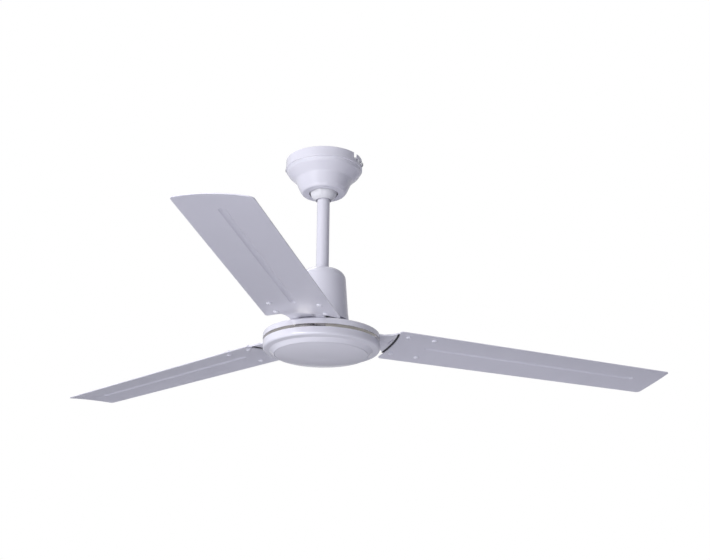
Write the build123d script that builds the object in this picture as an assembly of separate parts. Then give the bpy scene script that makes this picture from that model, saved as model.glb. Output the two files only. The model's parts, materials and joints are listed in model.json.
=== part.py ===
from build123d import *
from math import atan2, degrees, hypot, sqrt
import os

# Three-blade ceiling fan with pressed steel blades, hung from a ball joint on a rod.
# Millimetres. Z = 0 is the ceiling and the fan hangs below it, so heights are negative.
# X runs along the ceiling bracket and the fan turns about Z.

# Clearances
running_gap = 0.06
screw_gap = 0.3
face_gap = 0.05

# Ceiling bracket
bracket_length = 110.0
bracket_width = 36.0
bracket_sheet = 2.5
bracket_slot_spacing = 80.0
bracket_slot_length = 12.0
bracket_slot_r = 2.75
cable_hole_r = 10.0
strap_inner_x = 31.0
strap_width = 24.0
ear_width = 12.0
ear_r = 61.0
ear_drop = 19.0

# Ball joint
ball_r = 23.0
ball_centre_z = -53.0
ball_top_z = -39.0
ball_bottom_z = -72.0
ball_bore_r = 13.0
seat_low = -4.5
seat_high = 3.0
seat_liner = 1.5
seat_wall = 2.5
seat_flange_r = 33.5
seat_flange_height = 2.5
cross_pin_r = 3.0
cross_pin_z = -41.0
cross_pin_length = 33.0

# Upper canopy. The outline is its outer face, as radius and height, with corner radii.
canopy_r = 64.0
canopy_top_z = -2.0
canopy_band_z = -18.0
canopy_step_r = 62.0
canopy_bottom_z = -60.0
canopy_hole_r = 24.0
canopy_wall = 1.2
canopy_corners = [0.8, 0.8, 0.5, 4.0, 8.0, 6.0, 4.0]
canopy_screw_z = -11.3
canopy_screw_angle = -12.0
canopy_notch_angle = -36.0
canopy_notch_width = 8.5
canopy_notch_depth = 10.0

# Terminal block
terminal_size = (14.0, 24.0, 10.0)
terminal_x = 18.0
terminal_hole_r = 1.5
terminal_pitch = 8.0

# Downrod and coupling
rod_r = 10.5
rod_bore_r = 8.5
rod_top_z = -31.0
rod_bottom_z = -250.0
coupling_r = 17.0
coupling_top_z = -225.0
coupling_bottom_z = -272.0
coupling_bolt_r = 3.0
coupling_bolt_z = -238.0
set_screw_z = -262.0
set_screw_r = 2.5
clip_wire_r = 0.8
coupling_bolt_length = 42.0
clip_end = 3.0

# Lower canopy over the coupling
cover_top_z = -197.5
cover_corner_r = 37.4
cover_shoulder = 17.0
cover_waist_r = 42.6
cover_waist_z = -271.5
cover_bottom_r = 44.3
cover_bottom_z = -284.0
cover_wall = 1.2
cover_screw_r = 15.2
cover_screw_angle = -18.0
collar_r = 20.0
collar_height = 10.0

# Shaft, stator and bearings
shaft_top_z = -254.0
shaft_r = 7.5
shaft_step_top_z = -311.0
shaft_step_r = 9.5
shaft_step_bottom_z = -329.0
shaft_low_r = 6.0
shaft_bottom_z = -341.0
core_r = 62.0
core_top_z = -314.0
core_bottom_z = -326.0
slot_count = 16
slot_inner_r = 37.5
slot_outer_r = 58.5
slot_width = 5.0
slot_mouth = 2.0
coil_inner_r = 38.0
coil_outer_r = 58.0
coil_top_z = -310.5
coil_bottom_z = -333.0
coil_bar_width = 4.0
upper_bearing_z = -302.0
upper_bearing_r = 17.5
upper_bearing_width = 11.0
lower_bearing_r = 16.0
lower_bearing_width = 10.0
inner_ring_wall = 2.7
capacitor_size = (13.0, 24.0, 32.0)
capacitor_clear = 0.5

# Rotor cage and housing
cage_inner_r = 62.4
cage_outer_r = 74.0
cage_top_z = -313.0
cage_bottom_z = -327.0
land_z = -305.5
housing_r = 93.5
housing_corner_r = 2.5
housing_wall = 2.5
housing_plate = 3.0
top_shell_bottom_z = -315.0
skirt_wall = 3.0
register_wall = 2.0
register_bottom_z = -323.0
boss_r = 23.0
boss_top_z = -289.0
boss_lip = 2.0
boss_hole_r = 9.5
trim_r = 92.7
trim_bottom_z = -320.0
trim_seam_angle = -96.0
trim_seam = 1.0
pan_corner_z = -332.2
pan_corner_r = 4.0
pan_ring_r = 82.3
pan_ring_z = -333.5
pan_foot_r = 75.5
pan_foot_z = -339.2
pan_centre_z = -345.5
pan_flat_r = 10.0
pan_wall = 2.2
pan_groove_inset = 1.3
pan_groove_width = 0.9
pan_groove_depth = 1.1
low_boss_wall = 4.0
low_boss_top_z = -330.5
shell_screw_r = 83.0
shell_boss_r = 4.5
shell_boss_sink = 1.0

# Blades, seen along the radius u with v to the left
blade_count = 3
blade_angle = 15.9
blade_place_u = 155.0
blade_place_v = 1.6
blade_place_z = -309.5
blade_sweep = 2.35
blade_droop = 1.65
blade_pitch = 5.4
blade_sheet = 1.2
blade_camber_r = 500.0
root_half = 59.0
root_low_x = -44.5
root_high_x = -39.0
root_scallop_x = -32.0
root_corner_r = 4.0
tip_half = 51.0
tip_low_x = 442.7
tip_high_x = 448.3
tip_bulge_x = 450.5
tip_corner_r = 7.0
rib_start_x = 21.0
rib_end_x = 405.0
rib_half = 5.5
rib_height = 2.5
blade_screw_x = (-23.0, 22.0)
blade_screw_y = 38.0

# Gasket and blade arm
gasket_sheet = 0.8
gasket_show = 3.0
arm_sheet = 2.5
arm_half = 27.0
arm_inner_u = 52.0
arm_screw_u = 66.0
arm_screw_v = 17.0
arm_corner_r = 8.0
neck_lift = 0.3
ridge_half = 9.0
ridge_foot = 15.0
ridge_height = 2.5
pad_start_x = -38.0
pad_end_x = 34.0
pad_start_half = 40.0
pad_end_half = 46.0
pad_notch_x = 12.0
pad_notch_half = 9.5

# Screws as shank radius, head radius and head height
screw_m5 = (2.5, 4.4, 3.0)
screw_m4 = (2.0, 4.0, 2.5)
screw_cover = (2.5, 4.3, 4.2)

third = 360.0 / blade_count
blade_angles = [blade_angle + third * i for i in range(blade_count)]
cover_screw_angles = [cover_screw_angle + third * i for i in range(3)]


def turned(points):
    """A solid turned about Z from a closed outline of (radius, height) points."""
    return revolve(Plane.XZ * make_face(Polyline(*points, close=True)), Axis.Z)


def tube(outer_r, inner_r, low_z, high_z):
    return extrude(Pos(0, 0, low_z) * (Circle(outer_r) - Circle(inner_r)), high_z - low_z)


def disc(radius, low_z, high_z):
    return extrude(Pos(0, 0, low_z) * Circle(radius), high_z - low_z)


def moved_in(points, wall):
    """The points of a line moved to its right side by the wall thickness."""
    normals = []
    for (ax, az), (bx, bz) in zip(points, points[1:]):
        length = hypot(bx - ax, bz - az)
        normals.append(((bz - az) / length, (ax - bx) / length))
    result = []
    for i, (x, z) in enumerate(points):
        nx, nz = normals[min(i, len(normals) - 1)]
        px, pz = normals[max(i - 1, 0)]
        scale = wall / (1 + nx * px + nz * pz)
        result.append((x + (nx + px) * scale, z + (nz + pz) * scale))
    return result


def inner_radii(points, radii, wall):
    """Corner radii of the moved line: smaller inside a right turn, larger in a left one."""
    result = []
    for i, radius in enumerate(radii, 1):
        (ax, az), (bx, bz), (cx, cz) = points[i - 1], points[i], points[i + 1]
        left = (bx - ax) * (cz - bz) - (bz - az) * (cx - bx) > 0
        result.append(radius + wall if left else max(radius - wall, 0.1))
    return result


def turned_sheet(points, radii, wall):
    """A thin shell turned about Z. The points are its outer face, with corner radii."""
    inner = moved_in(points, wall)
    line = FilletPolyline(*points, radius=radii)
    line += FilletPolyline(*inner, radius=inner_radii(points, radii, wall))
    line += Line(points[0], inner[0])
    line += Line(points[-1], inner[-1])
    return revolve(Plane.XZ * make_face(line.edges()), Axis.Z)


def pan_screw(size, length):
    """A pan head screw along Z: head above 0, shank below, and a cross recess."""
    shank_r, head_r, head_h = size
    shoulder = head_h * 0.4
    line = Polyline(
        (0, head_h), (0, -length), (shank_r, -length), (shank_r, 0), (head_r, 0), (head_r, shoulder)
    )
    line += ThreePointArc((head_r, shoulder), (head_r * 0.72, head_h * 0.85), (0, head_h))
    body = revolve(Plane.XZ * make_face(line.edges()), Axis.Z)
    bar = Box(head_r * 1.1, head_r * 0.24, head_h)
    return body - Pos(0, 0, head_h) * (bar + Rot(0, 0, 90) * bar)


def turn(shape, angle):
    return Rot(0, 0, angle) * shape


# Ceiling bracket, upper canopy and the parts they hold


def ball_zone(inner_r, outer_r):
    """A ring cut from a hollow sphere about the ball's centre, at the seat's height."""
    slab = Pos(0, 0, (seat_low + seat_high) / 2) * Cylinder(outer_r, seat_high - seat_low)
    return Pos(0, 0, ball_centre_z) * ((Sphere(outer_r) - Sphere(inner_r)) & slab)


def liner_radii():
    inner_r = ball_r + running_gap
    return inner_r, inner_r + seat_liner


def ceiling_bracket():
    plate = Pos(0, 0, -bracket_sheet / 2) * Box(bracket_length, bracket_width, bracket_sheet)
    seat_r = liner_radii()[1]
    flange_top = ball_centre_z + seat_high
    flange = tube(seat_flange_r, seat_r + 1, flange_top - seat_flange_height, flange_top)
    strap_height = -flange_top + seat_flange_height
    cuts = disc(cable_hole_r, -bracket_sheet - 1, 1)
    for side in (0, 180):
        strap = Pos(strap_inner_x + bracket_sheet / 2, 0, -strap_height / 2) * Box(
            bracket_sheet, strap_width, strap_height
        )
        ear = Pos(ear_r - ear_drop / 2, 0, -bracket_sheet / 2) * Box(
            ear_drop, ear_width, bracket_sheet
        )
        ear += Pos(ear_r - bracket_sheet / 2, 0, -ear_drop / 2) * Box(
            bracket_sheet, ear_width, ear_drop
        )
        hole = Pos(ear_r, 0, canopy_screw_z) * Rot(0, 90, 0) * Cylinder(
            screw_m4[0] + face_gap, 4 * bracket_sheet
        )
        plate += turn(strap, side) + turn(ear - hole, side + canopy_screw_angle)
        slot = SlotOverall(bracket_slot_length, 2 * bracket_slot_r)
        cuts += turn(
            extrude(Pos(bracket_slot_spacing / 2, 0, -bracket_sheet - 1) * slot, 4), side
        )
    seat = ball_zone(seat_r, seat_r + seat_wall)
    return plate - cuts + flange + seat


def ball_seat_liner():
    return ball_zone(*liner_radii())


def canopy():
    outline = [
        (canopy_r, canopy_top_z),
        (canopy_r, canopy_band_z),
        (canopy_step_r, canopy_band_z - 1.2),
        (canopy_step_r, canopy_band_z - 2.6),
        (canopy_step_r - 2.0, canopy_band_z - 6.5),
        (47.0, -37.2),
        (39.4, -54.5),
        (35.5, canopy_bottom_z),
        (canopy_hole_r, canopy_bottom_z),
    ]
    shell = turned_sheet(outline, canopy_corners, canopy_wall)
    slot_half = screw_m4[0] + screw_gap
    band = Pos(canopy_r, canopy_screw_z) * Rectangle(4 * canopy_wall, 2 * slot_half)
    path = revolve(Plane.XZ * band, Axis.Z, canopy_screw_angle - canopy_notch_angle)
    end = Pos(canopy_r, 0, canopy_screw_z) * Rot(0, 90, 0) * Cylinder(
        slot_half, 4 * canopy_wall
    )
    mouth = Pos(canopy_r, 0, canopy_top_z - canopy_notch_depth / 2 + 1) * Box(
        4 * canopy_wall, canopy_notch_width, canopy_notch_depth + 2
    )
    for side in (0, 180):
        shell -= turn(path, side + canopy_notch_angle)
        shell -= turn(end, side + canopy_screw_angle)
        shell -= turn(mouth, side + canopy_notch_angle)
    return shell


def canopy_screws():
    place = Pos(canopy_r + face_gap, 0, canopy_screw_z) * Rot(0, 90, 0)
    screw = place * pan_screw(screw_m4, canopy_r - ear_r + 5)
    return [turn(screw, side + canopy_screw_angle) for side in (0, 180)]


def terminal_block():
    block = Box(*terminal_size)
    block = chamfer(block.edges().filter_by(Axis.Y), 1.0)
    for y in (-terminal_pitch, 0, terminal_pitch):
        block -= Pos(0, y, -1) * Rot(0, 90, 0) * Cylinder(terminal_hole_r, 30)
    return Pos(terminal_x, 0, -bracket_sheet - terminal_size[2] / 2) * block


# Ball, rod, coupling and lower canopy


def hanger_ball():
    ball = Pos(0, 0, ball_centre_z) * Sphere(ball_r)
    ball &= disc(ball_r + 1, ball_bottom_z, ball_top_z)
    ball -= disc(ball_bore_r, ball_bottom_z - 1, ball_top_z + 1)
    groove_r = cross_pin_r + face_gap
    groove = Rot(90, 0, 0) * Cylinder(groove_r, 4 * ball_r)
    groove += Pos(0, 0, groove_r) * Box(2 * groove_r, 4 * ball_r, 2 * groove_r)
    return ball - Pos(0, 0, cross_pin_z) * groove


def ball_cross_pin():
    pin = Cylinder(cross_pin_r, cross_pin_length)
    pin = chamfer(pin.edges(), 0.6)
    return Pos(0, 0, cross_pin_z) * Rot(90, 0, 0) * pin


def downrod():
    rod = tube(rod_r, rod_bore_r, rod_bottom_z, rod_top_z)
    for hole_r, z in ((cross_pin_r, cross_pin_z), (coupling_bolt_r, coupling_bolt_z)):
        rod -= Pos(0, 0, z) * Rot(90, 0, 0) * Cylinder(hole_r + running_gap, 4 * rod_r)
    return rod


def coupling():
    body = disc(coupling_r, coupling_bottom_z, coupling_top_z)
    body = fillet(body.edges().filter_by(GeomType.CIRCLE), 1.2)
    body -= disc(rod_r + running_gap, rod_bottom_z, coupling_top_z + 1)
    body -= disc(shaft_r, coupling_bottom_z - 1, rod_bottom_z + 1)
    bolt = Rot(90, 0, 0) * Cylinder(coupling_bolt_r + running_gap, 4 * coupling_r)
    body -= Pos(0, 0, coupling_bolt_z) * bolt
    screws = Rot(0, 90, 0) * Cylinder(set_screw_r + face_gap, 4 * coupling_r)
    return body - Pos(0, 0, set_screw_z) * screws


def coupling_bolt():
    length = coupling_bolt_length
    head = extrude(RegularPolygon(5.0, 6, major_radius=False), 3.5)
    bolt = disc(coupling_bolt_r, -length, 0) + head
    bolt -= Pos(0, 0, clip_end - length) * Rot(0, 90, 0) * Cylinder(clip_wire_r + face_gap, 20)
    return Pos(0, -coupling_r - face_gap, coupling_bolt_z) * Rot(90, 0, 0) * bolt


def coupling_clip():
    """The split pin through the bolt's end, with its two legs bent apart."""
    y = coupling_bolt_length - clip_end - coupling_r - face_gap
    pin = Pos(0, y, coupling_bolt_z) * Rot(0, 90, 0) * Cylinder(clip_wire_r, 10)
    eye = Pos(-6.6, y, coupling_bolt_z) * Rot(90, 0, 0) * Torus(1.8, clip_wire_r)
    return pin + eye


def coupling_set_screws():
    screw = Cylinder(set_screw_r, 10)
    socket = Pos(0, 0, 4) * extrude(RegularPolygon(1.2, 6), 3)
    place = Pos(shaft_r + 5 + face_gap, 0, set_screw_z) * Rot(0, 90, 0)
    return [turn(place * (screw - socket), side) for side in (0, 180)]


def lower_canopy():
    outline = [
        (rod_r + screw_gap, cover_top_z),
        (cover_corner_r, cover_top_z),
        (cover_waist_r, cover_waist_z),
        (cover_bottom_r, cover_bottom_z),
    ]
    shell = turned_sheet(outline, [cover_shoulder, 20.0], cover_wall)
    hole = Pos(cover_screw_r, 0) * disc(screw_cover[0] + screw_gap, cover_top_z - 3, cover_top_z + 1)
    return shell - [turn(hole, angle) for angle in cover_screw_angles]


def lower_canopy_collar():
    top = cover_top_z - cover_wall
    collar = tube(collar_r, rod_r, top - collar_height, top)
    hole = Pos(cover_screw_r, 0) * disc(screw_cover[0] + face_gap, top - collar_height - 1, top + 1)
    return collar - [turn(hole, angle) for angle in cover_screw_angles]


def lower_canopy_screws():
    screw = Pos(cover_screw_r, 0, cover_top_z) * pan_screw(screw_cover, 8.0)
    return [turn(screw, angle) for angle in cover_screw_angles]


def capacitor():
    width, depth, height = capacitor_size
    can = Box(width, depth, height)
    can = fillet(can.edges().filter_by(Axis.Z), 2.0)
    place_x = coupling_r + capacitor_clear + width / 2
    can = Pos(place_x, 0, coupling_top_z - height / 2) * can
    strap = Box(2 * capacitor_clear, depth / 2, 6)
    return can + Pos(coupling_r + capacitor_clear, 0, coupling_top_z - 22) * strap


# Shaft, stator and bearings


def motor_shaft():
    profile = [
        (0, shaft_bottom_z),
        (shaft_low_r, shaft_bottom_z),
        (shaft_low_r, shaft_step_bottom_z),
        (shaft_step_r, shaft_step_bottom_z),
        (shaft_step_r, shaft_step_top_z),
        (shaft_r, shaft_step_top_z),
        (shaft_r, shaft_top_z),
        (0, shaft_top_z),
    ]
    return turned(profile)


def stator_core():
    core = tube(core_r, shaft_step_r, core_bottom_z, core_top_z)
    mid_z = (core_bottom_z + core_top_z) / 2
    pocket = Pos((slot_inner_r + slot_outer_r) / 2, 0, mid_z) * Box(
        slot_outer_r - slot_inner_r, slot_width, 20
    )
    mouth = Pos(core_r, 0, mid_z) * Box(2 * (core_r - slot_outer_r) + 1, slot_mouth, 20)
    step = 360.0 / slot_count
    return core - [turn(pocket + mouth, step * i) for i in range(slot_count)]


def stator_winding():
    """Rings of wire above and below the core, joined through its slots."""
    coil = tube(coil_outer_r, coil_inner_r, core_top_z, coil_top_z)
    coil += tube(coil_outer_r, coil_inner_r, coil_bottom_z, core_bottom_z)
    mid_z = (core_bottom_z + core_top_z) / 2
    bar = Pos((coil_inner_r + coil_outer_r) / 2, 0, mid_z) * Box(
        coil_outer_r - coil_inner_r - 1, coil_bar_width, core_top_z - core_bottom_z + 1
    )
    step = 360.0 / slot_count
    return coil + [turn(bar, step * i) for i in range(slot_count)]


def inner_ring(bore_r, low_z, width):
    return tube(bore_r + inner_ring_wall, bore_r, low_z, low_z + width)


def outer_ring(bore_r, outer_r, low_z, width):
    """A bearing's outer ring together with its balls and shields."""
    return tube(outer_r, bore_r + inner_ring_wall + running_gap, low_z, low_z + width)


# Turning housing


def rotor_cage():
    return tube(cage_outer_r, cage_inner_r, cage_bottom_z, cage_top_z)


def top_shell():
    under_z = land_z - housing_plate
    register_r = trim_r - register_wall
    outline = [(boss_r, land_z), (housing_r, land_z), (housing_r, top_shell_bottom_z)]
    shell = turned_sheet(outline, [housing_corner_r], housing_wall)
    shell += tube(cage_outer_r + skirt_wall, upper_bearing_r, under_z, land_z)
    shell += tube(register_r, register_r - register_wall, under_z, land_z - 0.5)
    shell += tube(register_r, cage_outer_r, under_z, land_z - 0.5)
    shell += tube(register_r, register_r - register_wall, register_bottom_z, under_z)
    shell += tube(cage_outer_r + skirt_wall, cage_outer_r, cage_bottom_z + 1, under_z)
    boss = tube(boss_r, upper_bearing_r, land_z - 0.5, boss_top_z)
    shell += boss + tube(upper_bearing_r + 1, boss_hole_r, boss_top_z - boss_lip, boss_top_z)
    arm_hole = disc(screw_m5[0] + face_gap, under_z - 1, land_z + 1)
    shell_hole = disc(screw_m4[0] + face_gap, under_z - 1, land_z + 1)
    for angle in blade_angles:
        for side in (-1, 1):
            shell -= turn(Pos(arm_screw_u, side * arm_screw_v) * arm_hole, angle)
        shell -= turn(Pos(shell_screw_r, 0) * shell_hole, angle + third / 2)
    return shell


def trim_ring():
    inner_r = trim_r - register_wall + face_gap
    ring = tube(trim_r, inner_r, trim_bottom_z, top_shell_bottom_z)
    seam = Pos(trim_r, 0, trim_bottom_z) * Box(8, trim_seam, 20)
    return ring - turn(seam, trim_seam_angle)


def dome_height(radius):
    """Height of the pan's shallow dome at a radius, beyond its flat middle."""
    share = (radius - pan_flat_r) / (pan_foot_r - pan_flat_r)
    return pan_centre_z + (pan_foot_z - pan_centre_z) * share**2


def bottom_shell():
    outline = [
        (housing_r, trim_bottom_z),
        (housing_r, pan_corner_z),
        (pan_ring_r, pan_ring_z),
        (pan_foot_r, pan_foot_z),
    ]
    corners = [pan_corner_r, 1.0]
    inner = moved_in(outline, pan_wall)
    inner[-1] = (pan_foot_r - pan_wall * 0.6, pan_foot_z + pan_wall)
    half_r = (pan_foot_r + pan_flat_r) / 2
    line = FilletPolyline(*outline, radius=corners)
    line += FilletPolyline(*inner, radius=inner_radii(outline, corners, pan_wall))
    line += Line(outline[0], inner[0])
    low_z, high_z = pan_centre_z, pan_centre_z + pan_wall
    line += ThreePointArc(outline[-1], (half_r, dome_height(half_r)), (pan_flat_r, low_z))
    line += Polyline((pan_flat_r, low_z), (0, low_z), (0, high_z), (pan_flat_r, high_z))
    line += ThreePointArc(
        (pan_flat_r, high_z), (half_r, dome_height(half_r) + pan_wall), inner[-1]
    )
    shell = revolve(Plane.XZ * make_face(line.edges()), Axis.Z)
    boss_r_out = lower_bearing_r + low_boss_wall
    shell += tube(boss_r_out, lower_bearing_r, pan_centre_z + pan_wall / 2, low_boss_top_z)
    boss_top = land_z - housing_plate
    boss = disc(shell_boss_r, pan_ring_z + shell_boss_sink, boss_top)
    boss -= disc(screw_m4[0] + face_gap, boss_top - 14, boss_top + 1)
    for angle in blade_angles:
        shell += turn(Pos(shell_screw_r, 0) * boss, angle + third / 2)
    groove_r = pan_foot_r - pan_groove_inset
    groove_low = dome_height(groove_r) - 3
    groove_high = dome_height(groove_r) + pan_groove_depth
    return shell - tube(groove_r + pan_groove_width, groove_r, groove_low, groove_high)


def shell_screws():
    screw = Pos(shell_screw_r, 0, land_z) * pan_screw(screw_m4, housing_plate + 12)
    return [turn(screw, angle + third / 2) for angle in blade_angles]


# Blades and arms, drawn in the blade's own frame with the root towards the motor


def blade_frame():
    place = Pos(blade_place_u, blade_place_v, blade_place_z) * Rot(0, 0, blade_sweep)
    return place * Rot(0, blade_droop, 0) * Rot(-blade_pitch, 0, 0)


def camber_skin(low, high, start, end):
    """A strip of cambered sheet between two heights above the blade's underside."""
    ring = Circle(blade_camber_r + high) - Circle(blade_camber_r + low)
    return Pos(start, 0, -blade_camber_r) * extrude(Plane.YZ * ring, end - start)


def camber_drop(y):
    return blade_camber_r - sqrt(blade_camber_r**2 - y**2)


def on_blade(x, y):
    """A place on the blade's underside, square to the cambered sheet."""
    tilt = degrees(atan2(y, sqrt(blade_camber_r**2 - y**2)))
    return Pos(x, y, -camber_drop(y)) * Rot(-tilt, 0, 0)


def blade_plan():
    low_root, high_root = (root_low_x, -root_half), (root_high_x, root_half)
    low_tip, high_tip = (tip_low_x, -tip_half), (tip_high_x, tip_half)
    line = ThreePointArc(low_root, (root_scallop_x, 0), high_root)
    line += Line(high_root, high_tip)
    line += ThreePointArc(high_tip, (tip_bulge_x, 0), low_tip)
    line += Line(low_tip, low_root)
    face = make_face(line.edges())
    face = fillet(face.vertices().filter_by(lambda v: v.X > 100), tip_corner_r)
    return fillet(face.vertices().filter_by(lambda v: v.X < -20), root_corner_r)


def capsule(radius, start, end):
    rod = Pos((start + end) / 2, 0, 0) * Rot(0, 90, 0) * Cylinder(radius, end - start)
    return rod + Pos(start, 0, 0) * Sphere(radius) + Pos(end, 0, 0) * Sphere(radius)


def screw_places():
    return [(x, y) for x in blade_screw_x for y in (-blade_screw_y, blade_screw_y)]


def screw_holes(radius):
    return [on_blade(x, y) * Cylinder(radius, 20) for x, y in screw_places()]


def blade():
    """A cambered sheet with a long rib pressed upward along its middle."""
    sheet = camber_skin(0, blade_sheet, -50, 460) & extrude(
        Pos(0, 0, -20) * blade_plan(), 40
    )
    press_r = (rib_half**2 + rib_height**2) / (2 * rib_height)
    drop = press_r - rib_height
    start, end = rib_start_x + rib_half, rib_end_x - rib_half
    under = Pos(-50, 0, -blade_camber_r) * extrude(Plane.YZ * Circle(blade_camber_r), 510)
    rib = Pos(0, 0, -drop) * capsule(press_r + blade_sheet, start, end) - under
    shape = sheet + rib - Pos(0, 0, -drop) * capsule(press_r, start, end)
    return shape - screw_holes(screw_m4[0] + screw_gap)


def pad_plan(grow, start_x):
    """The outline shared by the arm's pad and the gasket, forked round the blade's rib."""
    inner, outer = pad_start_half + grow, pad_end_half + grow
    end = pad_end_x + grow
    face = make_face(
        Polyline((start_x, -inner), (end, -outer), (end, outer), (start_x, inner), close=True)
    )
    face = fillet(face.vertices().filter_by(lambda v: v.X > 0), arm_corner_r)
    notch = Pos(pad_notch_x, 0) * Circle(pad_notch_half)
    notch += Pos(pad_notch_x + 25, 0) * Rectangle(50, 2 * pad_notch_half)
    return face - notch


def blade_gasket():
    start = root_low_x
    plan = pad_plan(0.5, start) & Pos(-gasket_show, 0) * blade_plan()
    low = blade_sheet + face_gap
    skin = camber_skin(low, low + gasket_sheet, -55, pad_end_x + 10)
    skin &= extrude(Pos(0, 0, -20) * plan, 40)
    return skin - screw_holes(screw_m4[0] + screw_gap)


def strip_section(place, half, ridge, sag):
    """A cross section of the arm: a strip of sheet with a raised flat ridge."""
    low = [
        (-half, -sag),
        (-ridge_foot, -sag * (ridge_foot / half) ** 2),
        (-ridge_half, ridge),
        (ridge_half, ridge),
        (ridge_foot, -sag * (ridge_foot / half) ** 2),
        (half, -sag),
    ]
    high = [(y, z + arm_sheet) for y, z in reversed(low)]
    return place * (Plane.YZ * make_face(Polyline(*low, *high, close=True)))


def arm_neck():
    """The neck from the motor, over its rim, twisting down to the pad."""
    pad = blade_frame() * Pos(0, 0, blade_sheet + gasket_sheet + 2 * face_gap + neck_lift)
    flat = ridge_height - 0.5
    start_drop = camber_drop(pad_start_half)
    mid_half = pad_start_half + 2
    sections = [
        strip_section(Pos(76, 0, land_z), arm_half, 0.1, 0.0),
        strip_section(Pos(87, 0, land_z), arm_half, ridge_height, 0.0),
        strip_section(Pos(97, 0, land_z), arm_half, ridge_height, 0.0),
        strip_section(Pos(107, 0.6, land_z - 0.4 + neck_lift) * Rot(-2.6, 0, 1.2), 31.0, ridge_height, 0.5),
        strip_section(pad * Pos(pad_start_x, 0, 0), pad_start_half, flat, start_drop),
        strip_section(pad * Pos(-22, 0, 0), mid_half, flat, camber_drop(mid_half)),
        strip_section(pad * Pos(-8, 0, 0), mid_half, 0.1, camber_drop(mid_half)),
    ]
    return loft(sections, ruled=True)


def blade_arm():
    low = blade_sheet + gasket_sheet + 2 * face_gap
    skin = camber_skin(low, low + arm_sheet, -50, pad_end_x + 10)
    pad = skin & extrude(Pos(0, 0, -20) * pad_plan(0, pad_start_x), 40)
    length = 78 - arm_inner_u
    tab = Pos(arm_inner_u + length / 2, 0) * Rectangle(length, 2 * arm_half)
    tab = fillet(tab.vertices().filter_by(lambda v: v.X < arm_inner_u + 1), arm_corner_r)
    arm = extrude(Pos(0, 0, land_z) * tab, arm_sheet) + arm_neck() + blade_frame() * pad
    hole = disc(screw_m5[0] + screw_gap, land_z - 1, land_z + arm_sheet + 1)
    for side in (-1, 1):
        arm -= Pos(arm_screw_u, side * arm_screw_v) * hole
    return arm - [blade_frame() * h for h in screw_holes(screw_m4[0] + face_gap)]


def arm_screws(angle):
    place = Pos(0, 0, land_z + arm_sheet) * pan_screw(screw_m5, arm_sheet + housing_plate + 1)
    return [turn(Pos(arm_screw_u, s * arm_screw_v) * place, angle) for s in (-1, 1)]


def blade_screws(angle):
    length = blade_sheet + gasket_sheet + arm_sheet + 2.5
    screw = Rot(180, 0, 0) * pan_screw(screw_m4, length)
    return [turn(blade_frame() * on_blade(x, y) * screw, angle) for x, y in screw_places()]


def fixed_parts():
    return {
        "ceiling_bracket": ceiling_bracket(),
        "ball_seat_liner": ball_seat_liner(),
        "canopy": canopy(),
        "canopy_screws": canopy_screws(),
        "terminal_block": terminal_block(),
        "hanger_ball": hanger_ball(),
        "ball_cross_pin": ball_cross_pin(),
        "downrod": downrod(),
        "coupling": coupling(),
        "coupling_bolt": coupling_bolt(),
        "coupling_clip": coupling_clip(),
        "coupling_set_screws": coupling_set_screws(),
        "lower_canopy": lower_canopy(),
        "lower_canopy_collar": lower_canopy_collar(),
        "lower_canopy_screws": lower_canopy_screws(),
        "capacitor": capacitor(),
        "motor_shaft": motor_shaft(),
        "stator_core": stator_core(),
        "stator_winding": stator_winding(),
        "upper_bearing_inner": inner_ring(shaft_r, upper_bearing_z, upper_bearing_width),
        "lower_bearing_inner": inner_ring(shaft_low_r, shaft_bottom_z, lower_bearing_width),
    }


def turning_parts():
    parts = {
        "upper_bearing_outer": outer_ring(
            shaft_r, upper_bearing_r, upper_bearing_z, upper_bearing_width
        ),
        "lower_bearing_outer": outer_ring(
            shaft_low_r, lower_bearing_r, shaft_bottom_z, lower_bearing_width
        ),
        "rotor_cage": rotor_cage(),
        "top_shell": top_shell(),
        "trim_ring": trim_ring(),
        "bottom_shell": bottom_shell(),
        "shell_screws": shell_screws(),
    }
    arm = blade_arm()
    gasket = blade_frame() * blade_gasket()
    sheet = blade_frame() * blade()
    for i, angle in enumerate(blade_angles, 1):
        parts[f"blade_arm_{i}"] = turn(arm, angle)
        parts[f"arm_screws_{i}"] = arm_screws(angle)
        parts[f"blade_gasket_{i}"] = turn(gasket, angle)
        parts[f"blade_{i}"] = turn(sheet, angle)
        parts[f"blade_screws_{i}"] = blade_screws(angle)
    return parts


os.makedirs("parts", exist_ok=True)
for name, shape in (fixed_parts() | turning_parts()).items():
    pieces = shape if isinstance(shape, list) else [shape]
    solids = [solid for piece in pieces for solid in piece.solids()]
    export_step(Compound(children=solids), f"parts/{name}.step")
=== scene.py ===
import json
import math

import bpy
from mathutils import Matrix, Vector

# A white ceiling fan seen from below. Metres, with +Z up and the ceiling at Z = 0.

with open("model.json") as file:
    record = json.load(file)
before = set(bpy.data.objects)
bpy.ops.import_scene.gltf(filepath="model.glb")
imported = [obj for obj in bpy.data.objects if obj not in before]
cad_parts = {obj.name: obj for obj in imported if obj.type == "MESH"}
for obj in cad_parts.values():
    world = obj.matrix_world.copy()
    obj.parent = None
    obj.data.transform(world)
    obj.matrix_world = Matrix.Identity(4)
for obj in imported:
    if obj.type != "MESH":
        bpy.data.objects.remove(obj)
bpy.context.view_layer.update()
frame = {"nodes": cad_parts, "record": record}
nodes = frame["nodes"]
scene = bpy.context.scene

# Colours

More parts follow.
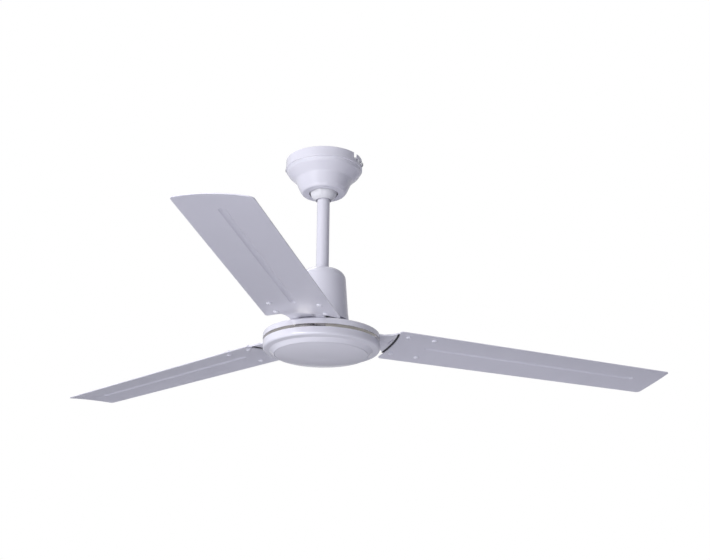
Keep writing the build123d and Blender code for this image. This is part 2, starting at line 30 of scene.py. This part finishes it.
WHITE = (0.75, 0.745, 0.82)
BLADE_WHITE = (0.67, 0.665, 0.75)
BALL_WHITE = (0.8, 0.8, 0.84)
TERMINAL_WHITE = (0.78, 0.77, 0.74)
BLACK = (0.025, 0.025, 0.028)
RUBBER = (0.03, 0.03, 0.035)
ZINC = (0.66, 0.67, 0.68)
SCREW_STEEL = (0.7, 0.7, 0.72)
GROUND_STEEL = (0.68, 0.68, 0.7)
CHROME = (0.50, 0.48, 0.45)
DARK_IRON = (0.09, 0.09, 0.095)
CORE_STEEL = (0.22, 0.22, 0.23)
COPPER = (0.55, 0.24, 0.1)
FLOOR_DARK = (0.77, 0.77, 0.77)
FLOOR_PALE = (0.8, 0.8, 0.8)
FLOOR_GLOW = (0.97, 0.97, 0.98, 1)
PURE_WHITE = (1, 1, 1, 1)

# Noise of each kind of surface

# Tone and gloss are scale, detail, and the lowest and highest share of the colour or
# roughness. Relief is scale, detail and depth in metres.

ENAMEL_TONE = (14, 5, 0.988, 1.008)
ENAMEL_GLOSS = (45, 3, 0.94, 1.06)
ENAMEL_RELIEF = (160, 2, 0.0002)
METAL_TONE = (60, 4, 0.82, 1.08)
METAL_GLOSS = (120, 3, 0.75, 1.35)
METAL_RELIEF = (500, 2, 0.0001)
PLASTIC_TONE = (30, 4, 0.9, 1.05)
PLASTIC_GLOSS = (200, 3, 0.85, 1.2)
PLASTIC_RELIEF = (900, 2, 0.0001)
PLASTIC_STRENGTH = 0.15
FLOOR_NOISE = (2, 4)
COAT_ROUGHNESS = 0.13
EVEN = (1, 1, 1)

# Camera. The focal length and the lens axis are in pixels of the photograph.

PHOTO_WIDTH = 710
FOCAL_PIXELS = 1166
LENS_AXIS_PIXEL = 265
SENSOR_WIDTH = 36.0
CAMERA_YAW = -2.98
CAMERA_PITCH = 19.55
CAMERA_ROLL = 1.94
CAMERA_PLACE = (0, -1.79045, -0.8506)
FARTHEST_SEEN = 300

# Floor and light

FLOOR_Z = -1.9
FLOOR_HALF = 60.0
FLOOR_ROUGHNESS = 0.9
FLOOR_GLOW_SHARE = 0.72
FILL_COLOR = (0.86, 0.86, 1.0, 1)
FILL_LEFT = 0.58
FILL_RIGHT = 0.17
GLOSS_WHITE_SHARE = 0.4


def new_material(name):
    """A new material with its node tree and its surface shader."""
    mat = bpy.data.materials.new(name)
    mat.use_nodes = True
    tree = mat.node_tree
    return mat, tree, tree.nodes["Principled BSDF"]


def noise(tree, scale, detail, stretch=EVEN):
    """Noise in the object's own coordinates, stretched along each axis."""
    coords = tree.nodes.new("ShaderNodeTexCoord")
    mapping = tree.nodes.new("ShaderNodeMapping")
    mapping.inputs["Scale"].default_value = stretch
    tree.links.new(coords.outputs["Object"], mapping.inputs["Vector"])
    texture = tree.nodes.new("ShaderNodeTexNoise")
    texture.inputs["Scale"].default_value = scale
    texture.inputs["Detail"].default_value = detail
    tree.links.new(mapping.outputs["Vector"], texture.inputs["Vector"])
    return texture.outputs["Fac"]


def ramp(tree, factor, low, high, start=0.35, end=0.65):
    """A colour that goes from low to high as the factor rises."""
    node = tree.nodes.new("ShaderNodeValToRGB")
    node.color_ramp.elements[0].position = start
    node.color_ramp.elements[0].color = (*low, 1)
    node.color_ramp.elements[1].position = end
    node.color_ramp.elements[1].color = (*high, 1)
    tree.links.new(factor, node.inputs["Fac"])
    return node.outputs["Color"]


def spread(tree, factor, low, high, start=0.3, end=0.7):
    """The factor mapped from start-end to low-high, and held at the ends."""
    node = tree.nodes.new("ShaderNodeMapRange")
    node.inputs["From Min"].default_value = start
    node.inputs["From Max"].default_value = end
    node.inputs["To Min"].default_value = low
    node.inputs["To Max"].default_value = high
    tree.links.new(factor, node.inputs["Value"])
    return node.outputs["Result"]


def bump(tree, shader, height, strength, depth):
    """Relief from the height, on the shader."""
    node = tree.nodes.new("ShaderNodeBump")
    node.inputs["Strength"].default_value = strength
    node.inputs["Distance"].default_value = depth
    tree.links.new(height, node.inputs["Height"])
    tree.links.new(node.outputs["Normal"], shader.inputs["Normal"])


def shade(color, factor):
    """The colour made darker or paler."""
    return tuple(channel * factor for channel in color)


def surface(name, color, rough, tone, gloss, relief, strength, stretch=EVEN):
    """A material whose tone, gloss and relief each follow a noise of their own."""
    mat, tree, shader = new_material(name)
    scale, detail, low, high = tone
    colors = ramp(tree, noise(tree, scale, detail, stretch), shade(color, low), shade(color, high))
    tree.links.new(colors, shader.inputs["Base Color"])
    scale, detail, low, high = gloss
    roughness = spread(tree, noise(tree, scale, detail, stretch), rough * low, rough * high)
    tree.links.new(roughness, shader.inputs["Roughness"])
    scale, detail, depth = relief
    bump(tree, shader, noise(tree, scale, detail, stretch), strength, depth)
    return mat, shader


def enamel(name, color, rough, coat, peel=0.012):
    """Sprayed enamel: fine orange peel, faint dust in its tone and uneven gloss."""
    mat, shader = surface(name, color, rough, ENAMEL_TONE, ENAMEL_GLOSS, ENAMEL_RELIEF, peel)
    shader.inputs["Coat Weight"].default_value = coat
    shader.inputs["Coat Roughness"].default_value = COAT_ROUGHNESS
    return mat


def metal(name, color, rough, stretch=EVEN, strength=0.12):
    """Bare metal with fine machining lines and slight stains."""
    mat, shader = surface(
        name, color, rough, METAL_TONE, METAL_GLOSS, METAL_RELIEF, strength, stretch
    )
    shader.inputs["Metallic"].default_value = 1.0
    return mat


def plastic(name, color, rough):
    """Moulded plastic or rubber with a fine grain."""
    return surface(
        name, color, rough, PLASTIC_TONE, PLASTIC_GLOSS, PLASTIC_RELIEF, PLASTIC_STRENGTH
    )[0]


# Materials, by the record's material slot

materials = {
    "white_paint": enamel("canopy_enamel", WHITE, rough=0.22, coat=0.5),
    "rod_paint": enamel("rod_enamel", WHITE, rough=0.18, coat=0.6),
    "housing_paint": enamel("housing_enamel", WHITE, rough=0.18, coat=0.6),
    "arm_paint": enamel("arm_enamel", WHITE, rough=0.24, coat=0.4),
    "blade_paint": enamel("blade_enamel", BLADE_WHITE, rough=0.3, coat=0.35, peel=0.005),
    "white_screw": enamel("screw_enamel", shade(WHITE, 1.08), rough=0.3, coat=0.2),
    "ball_plastic": plastic("ball_moulding", BALL_WHITE, rough=0.24),
    "white_plastic": plastic("terminal_moulding", TERMINAL_WHITE, rough=0.4),
    "black_plastic": plastic("black_moulding", BLACK, rough=0.5),
    "gasket_rubber": plastic("gasket_sheet", RUBBER, rough=0.7),
    "zinc_steel": metal("zinc_plate", ZINC, rough=0.34, stretch=(1, 8, 1)),
    "screw_steel": metal("plated_screw", SCREW_STEEL, rough=0.28),
    "bright_steel": metal("ground_steel", GROUND_STEEL, rough=0.25, stretch=(1, 1, 12)),
    "trim_chrome": metal("bright_band", CHROME, rough=0.14, stretch=(1, 1, 14), strength=0.05),
    "dark_iron": metal("blackened_iron", DARK_IRON, rough=0.5, strength=0.3),
    "lamination": metal("core_steel", CORE_STEEL, rough=0.45, stretch=(1, 1, 40), strength=0.4),
    "copper_winding": metal("varnished_wire", COPPER, rough=0.35, stretch=(1, 1, 20), strength=0.5),
}

for part in frame["record"]["subparts"]:
    obj = nodes[part["node"]]
    obj.data.materials.clear()
    obj.data.materials.append(materials[part["material_slot"]])


def camera_axes():
    """The camera's right, up and forward directions."""
    yaw, pitch, roll = (math.radians(turn) for turn in (CAMERA_YAW, CAMERA_PITCH, CAMERA_ROLL))
    forward = Vector(
        (math.cos(pitch) * math.sin(yaw), math.cos(pitch) * math.cos(yaw), math.sin(pitch))
    )
    level = forward.cross(Vector((0, 0, 1))).normalized()
    rise = level.cross(forward)
    right = level * math.cos(roll) + rise * math.sin(roll)
    up = rise * math.cos(roll) - level * math.sin(roll)
    return right, up, forward


def make_camera():
    """A camera at the photograph's place and angle."""
    lens = bpy.data.cameras.new("camera")
    lens.sensor_width = SENSOR_WIDTH
    lens.lens = SENSOR_WIDTH * FOCAL_PIXELS / PHOTO_WIDTH
    lens.shift_x = (PHOTO_WIDTH / 2 - LENS_AXIS_PIXEL) / PHOTO_WIDTH
    lens.clip_end = FARTHEST_SEEN
    camera = bpy.data.objects.new("camera", lens)
    scene.collection.objects.link(camera)
    right, up, forward = camera_axes()
    place = Matrix((right, up, -forward)).transposed().to_4x4()
    place.translation = Vector(CAMERA_PLACE)
    camera.matrix_world = place
    scene.camera = camera


def combine(tree, operation, first, second):
    """A maths node on two inputs, each an output of another node or a number."""
    node = tree.nodes.new("ShaderNodeMath")
    node.operation = operation
    for socket, value in zip(node.inputs, (first, second)):
        if isinstance(value, bpy.types.NodeSocket):
            tree.links.new(value, socket)
        else:
            socket.default_value = value
    return node.outputs[0]


def mixed(tree, factor, first, second):
    """The first shader, going over to the second as the factor rises."""
    node = tree.nodes.new("ShaderNodeMixShader")
    tree.links.new(factor, node.inputs["Fac"])
    tree.links.new(first, node.inputs[1])
    tree.links.new(second, node.inputs[2])
    return node.outputs[0]


def floor_material():
    """A matt pale floor, which the camera alone sees partly glowing."""
    mat, tree, shader = new_material("pale_floor")
    tone = ramp(tree, noise(tree, *FLOOR_NOISE), FLOOR_DARK, FLOOR_PALE)
    tree.links.new(tone, shader.inputs["Base Color"])
    shader.inputs["Roughness"].default_value = FLOOR_ROUGHNESS
    glow = tree.nodes.new("ShaderNodeEmission")
    glow.inputs["Color"].default_value = FLOOR_GLOW
    ray = tree.nodes.new("ShaderNodeLightPath")
    share = combine(tree, "MULTIPLY", ray.outputs["Is Camera Ray"], FLOOR_GLOW_SHARE)
    cover = mixed(tree, share, shader.outputs[0], glow.outputs[0])
    tree.links.new(cover, tree.nodes["Material Output"].inputs["Surface"])
    return mat


def make_floor():
    """A square floor, below the photograph's view."""
    corners = [(-1, -1), (1, -1), (1, 1), (-1, 1)]
    points = [(x * FLOOR_HALF, y * FLOOR_HALF, FLOOR_Z) for x, y in corners]
    mesh = bpy.data.meshes.new("floor")
    mesh.from_pydata(points, [], [(0, 1, 2, 3)])
    floor = bpy.data.objects.new("floor", mesh)
    scene.collection.objects.link(floor)
    mesh.materials.append(floor_material())
    return floor


def lamp(name, where, aim, width, height, power, color=(1, 1, 1)):
    """A rectangular lamp at one place, aimed at another."""
    data = bpy.data.lights.new(name, "AREA")
    data.shape = "RECTANGLE"
    data.size = width
    data.size_y = height
    data.energy = power
    data.color = color
    obj = bpy.data.objects.new(name, data)
    scene.collection.objects.link(obj)
    obj.location = where
    obj.rotation_euler = (Vector(aim) - Vector(where)).to_track_quat("-Z", "Y").to_euler()


def background(tree, color, strength):
    """A world shader. Its strength is a number or an output of another node."""
    node = tree.nodes.new("ShaderNodeBackground")
    node.inputs["Color"].default_value = color
    if isinstance(strength, bpy.types.NodeSocket):
        tree.links.new(strength, node.inputs["Strength"])
    else:
        node.inputs["Strength"].default_value = strength
    return node.outputs[0]


def make_world():
    """White where it is seen directly, and partly so in gloss.

    The light it gives is a pale blue, stronger from the left of the photograph.
    """
    world = bpy.data.worlds.new("studio")
    scene.world = world
    world.use_nodes = True
    tree = world.node_tree
    tree.nodes.clear()
    direction = tree.nodes.new("ShaderNodeTexCoord")
    split = tree.nodes.new("ShaderNodeSeparateXYZ")
    tree.links.new(direction.outputs["Generated"], split.inputs[0])
    strength = spread(tree, split.outputs["X"], FILL_LEFT, FILL_RIGHT, -1.0, 1.0)
    fill = background(tree, FILL_COLOR, strength)
    white = background(tree, PURE_WHITE, 1.0)
    ray = tree.nodes.new("ShaderNodeLightPath")
    seen = combine(
        tree, "MAXIMUM", ray.outputs["Is Camera Ray"], ray.outputs["Is Transmission Ray"]
    )
    in_gloss = combine(tree, "MULTIPLY", ray.outputs["Is Glossy Ray"], GLOSS_WHITE_SHARE)
    share = combine(tree, "MAXIMUM", seen, in_gloss)
    out = tree.nodes.new("ShaderNodeOutputWorld")
    tree.links.new(mixed(tree, share, fill, white), out.inputs["Surface"])


make_camera()
floor = make_floor()
lamp("key", where=(-2.2, -2.6, -0.1), aim=(0, 0, -0.25), width=1.8, height=1.8, power=74)
lamp(
    "under",
    where=(-0.6, -1.6, -1.8),
    aim=(0, 0, -0.3),
    width=2.4,
    height=1.6,
    power=20,
    color=(0.96, 0.96, 1.0),
)
lamp("top", where=(-0.4, 0.6, 2.2), aim=(0, 0, -0.3), width=2.2, height=2.2, power=34)
make_world()

scene.view_settings.view_transform = "Standard"
